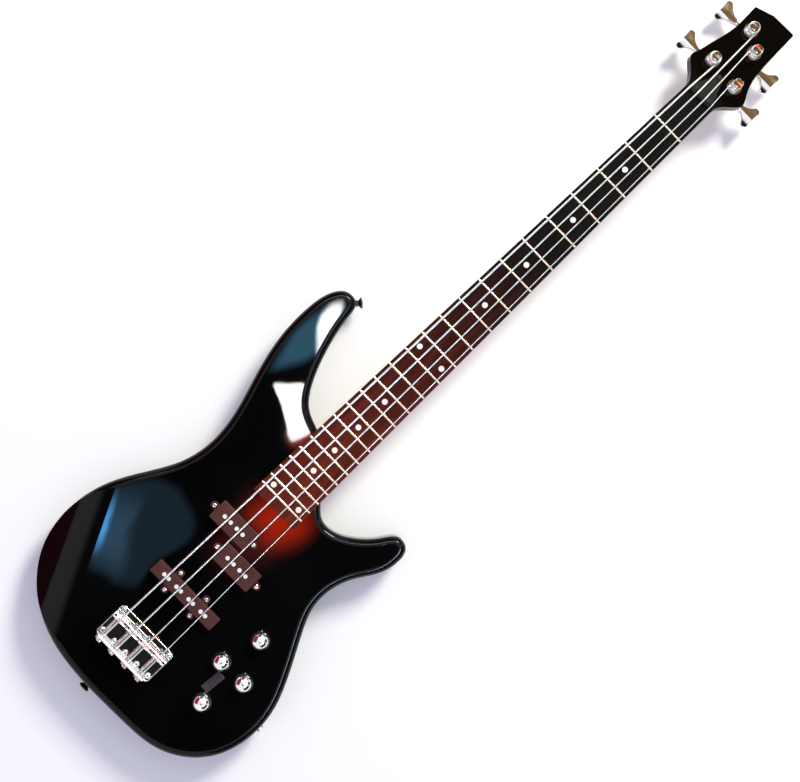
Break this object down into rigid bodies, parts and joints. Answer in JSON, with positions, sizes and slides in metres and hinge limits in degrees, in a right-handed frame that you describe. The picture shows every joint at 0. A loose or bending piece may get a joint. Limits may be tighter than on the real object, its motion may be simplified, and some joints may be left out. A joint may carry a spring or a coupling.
{
  "type": "electric bass guitar",
  "caption": "Solid-body electric bass guitar with a bolt-on neck, split and single pickups, sealed tuners, a bridge with sliding saddles and turning control knobs.",
  "frame": {"origin": "on the flat back of the body, on the neck's centre line under the bridge's scale line", "axes": "+X along the neck to the headstock, +Y to the side of the thickest string, +Z out of the top, so the instrument lies on its back"},
  "size_m": [1.09, 0.3253, 0.0586],
  "materials": {
    "body_lacquer": "gloss black lacquer over wood",
    "neck_maple": "satin varnish",
    "rosewood": "oiled, open grain",
    "pearl": "polished",
    "fret_metal": "polished nickel silver",
    "black_plastic": "semi-gloss",
    "pickup_plastic": "satin",
    "chrome": "polished",
    "steel": "bright",
    "string_metal": "round wound nickel",
    "black_screw": "black",
    "can_metal": "drawn",
    "battery_case": "plain",
    "circuit_board": "solder mask"
  },
  "bodies": {
    "instrument": {"body": "body_lacquer", "neck": "neck_maple", "fretboard": "rosewood", "position_markers": "pearl", "frets": "fret_metal", "nut": "black_plastic", "truss_rod": "steel", "truss_rod_cover": "black_plastic", "string_e": "string_metal", "string_a": "string_metal", "string_d": "string_metal", "string_g": "string_metal", "bridge_plate": "chrome", "bridge_screws": "chrome", "potentiometers": "can_metal", "control_cover": "black_plastic", "cover_screws": "black_screw", "battery": "battery_case", "preamp_board": "circuit_board", "output_jack": "chrome", "neck_bolts": "chrome", "neck_ferrules": "chrome", "strap_buttons": "black_screw", "strap_screws": "black_screw", "tuner_housings": "chrome", "tuner_bushings": "chrome"},
    "key_e": {"tuner_key_e": "chrome"},
    "post_e": {"tuner_post_e": "chrome"},
    "key_a": {"tuner_key_a": "chrome"},
    "post_a": {"tuner_post_a": "chrome"},
    "key_d": {"tuner_key_d": "chrome"},
    "post_d": {"tuner_post_d": "chrome"},
    "key_g": {"tuner_key_g": "chrome"},
    "post_g": {"tuner_post_g": "chrome"},
    "control_1": {"knob_1": "chrome", "pot_shaft_1": "steel"},
    "control_2": {"knob_2": "chrome", "pot_shaft_2": "steel"},
    "control_3": {"knob_3": "chrome", "pot_shaft_3": "steel"},
    "control_4": {"knob_4": "chrome", "pot_shaft_4": "steel"},
    "split_pickup_bass": {"split_pickup_bass_cover": "pickup_plastic", "split_pickup_bass_poles": "steel", "split_pickup_bass_screws": "steel"},
    "split_pickup_treble": {"split_pickup_treble_cover": "pickup_plastic", "split_pickup_treble_poles": "steel", "split_pickup_treble_screws": "steel"},
    "single_pickup": {"single_pickup_cover": "pickup_plastic", "single_pickup_poles": "steel", "single_pickup_screws": "steel"},
    "saddle_e": {"saddle_e": "chrome"},
    "intonation_screw_e": {"intonation_screw_e": "steel"},
    "saddle_a": {"saddle_a": "chrome"},
    "intonation_screw_a": {"intonation_screw_a": "steel"},
    "saddle_d": {"saddle_d": "chrome"},
    "intonation_screw_d": {"intonation_screw_d": "steel"},
    "saddle_g": {"saddle_g": "chrome"},
    "intonation_screw_g": {"intonation_screw_g": "steel"},
    "truss_rod_nut": {"truss_rod_nut": "steel"}
  },
  "joints": [
    {"name": "key_e_turn", "type": "hinge", "parent": "instrument", "child": "key_e", "pos_m": [0.90966, 0.02, 0.02158], "axis": [0, 1, 0], "continuous": true},
    {"name": "post_e_turn", "type": "hinge", "parent": "instrument", "child": "post_e", "pos_m": [0.90883, 0.02, 0.0408], "axis": [0.1132, 0, 0.9936], "continuous": true},
    {"name": "key_a_turn", "type": "hinge", "parent": "instrument", "child": "key_a", "pos_m": [0.96729, 0.0138, 0.01502], "axis": [0, 1, 0], "continuous": true},
    {"name": "post_a_turn", "type": "hinge", "parent": "instrument", "child": "post_a", "pos_m": [0.96646, 0.0138, 0.03424], "axis": [0.1132, 0, 0.9936], "continuous": true},
    {"name": "key_d_turn", "type": "hinge", "parent": "instrument", "child": "key_d", "pos_m": [0.94523, -0.0068, 0.01753], "axis": [0, -1, 0], "continuous": true},
    {"name": "post_d_turn", "type": "hinge", "parent": "instrument", "child": "post_d", "pos_m": [0.95036, -0.0068, 0.03607], "axis": [0.1132, 0, 0.9936], "continuous": true},
    {"name": "key_g_turn", "type": "hinge", "parent": "instrument", "child": "key_g", "pos_m": [0.90012, -0.0188, 0.02267], "axis": [0, -1, 0], "continuous": true},
    {"name": "post_g_turn", "type": "hinge", "parent": "instrument", "child": "post_g", "pos_m": [0.90526, -0.0188, 0.04121], "axis": [0.1132, 0, 0.9936], "continuous": true},
    {"name": "knob_1_turn", "type": "hinge", "parent": "instrument", "child": "control_1", "pos_m": [0.0912, -0.0946, 0.04], "axis": [0, 0, 1], "range_deg": [-150, 150]},
    {"name": "knob_2_turn", "type": "hinge", "parent": "instrument", "child": "control_2", "pos_m": [0.0447, -0.0813, 0.04], "axis": [0, 0, 1], "range_deg": [-150, 150]},
    {"name": "knob_3_turn", "type": "hinge", "parent": "instrument", "child": "control_3", "pos_m": [0.0452, -0.1155, 0.04], "axis": [0, 0, 1], "range_deg": [-150, 150]},
    {"name": "knob_4_turn", "type": "hinge", "parent": "instrument", "child": "control_4", "pos_m": [-0.0021, -0.0983, 0.04], "axis": [0, 0, 1], "range_deg": [-150, 150]},
    {"name": "split_pickup_bass_height", "type": "slide", "parent": "instrument", "child": "split_pickup_bass", "axis": [0, 0, 1], "range_m": [-0.002, 0.002]},
    {"name": "split_pickup_treble_height", "type": "slide", "parent": "instrument", "child": "split_pickup_treble", "axis": [0, 0, 1], "range_m": [-0.002, 0.002]},
    {"name": "single_pickup_height", "type": "slide", "parent": "instrument", "child": "single_pickup", "axis": [0, 0, 1], "range_m": [-0.002, 0.002]},
    {"name": "intonation_screw_e_turn", "type": "hinge", "parent": "instrument", "child": "intonation_screw_e", "pos_m": [-0.031, 0.0333, 0.051], "axis": [1, 0, 0], "continuous": true},
    {"name": "saddle_e_slide", "type": "slide", "parent": "instrument", "child": "saddle_e", "axis": [1, 0, 0], "range_m": [-0.003, 0.003], "deforming": ["string_e"]},
    {"name": "intonation_screw_a_turn", "type": "hinge", "parent": "instrument", "child": "intonation_screw_a", "pos_m": [-0.031, 0.0135, 0.05229], "axis": [1, 0, 0], "continuous": true},
    {"name": "saddle_a_slide", "type": "slide", "parent": "instrument", "child": "saddle_a", "axis": [1, 0, 0], "range_m": [-0.003, 0.003], "deforming": ["string_a"]},
    {"name": "intonation_screw_d_turn", "type": "hinge", "parent": "instrument", "child": "intonation_screw_d", "pos_m": [-0.031, -0.0063, 0.05229], "axis": [1, 0, 0], "continuous": true},
    {"name": "saddle_d_slide", "type": "slide", "parent": "instrument", "child": "saddle_d", "axis": [1, 0, 0], "range_m": [-0.003, 0.003], "deforming": ["string_d"]},
    {"name": "intonation_screw_g_turn", "type": "hinge", "parent": "instrument", "child": "intonation_screw_g", "pos_m": [-0.031, -0.0261, 0.051], "axis": [1, 0, 0], "continuous": true},
    {"name": "saddle_g_slide", "type": "slide", "parent": "instrument", "child": "saddle_g", "axis": [1, 0, 0], "range_m": [-0.003, 0.003], "deforming": ["string_g"]},
    {"name": "truss_rod_nut_turn", "type": "hinge", "parent": "instrument", "child": "truss_rod_nut", "pos_m": [0.8796, 0, 0.0375], "axis": [1, 0, 0], "range_deg": [-180, 180]}
  ],
  "couplings": [
    {"joint": "post_e_turn", "follows": "key_e_turn", "ratio": 0.05},
    {"joint": "post_a_turn", "follows": "key_a_turn", "ratio": 0.05},
    {"joint": "post_d_turn", "follows": "key_d_turn", "ratio": -0.05},
    {"joint": "post_g_turn", "follows": "key_g_turn", "ratio": -0.05},
    {"joint": "intonation_screw_e_turn", "follows": "saddle_e_slide", "rad_per_m": 12566},
    {"joint": "intonation_screw_a_turn", "follows": "saddle_a_slide", "rad_per_m": 12566},
    {"joint": "intonation_screw_d_turn", "follows": "saddle_d_slide", "rad_per_m": 12566},
    {"joint": "intonation_screw_g_turn", "follows": "saddle_g_slide", "rad_per_m": 12566}
  ]
}
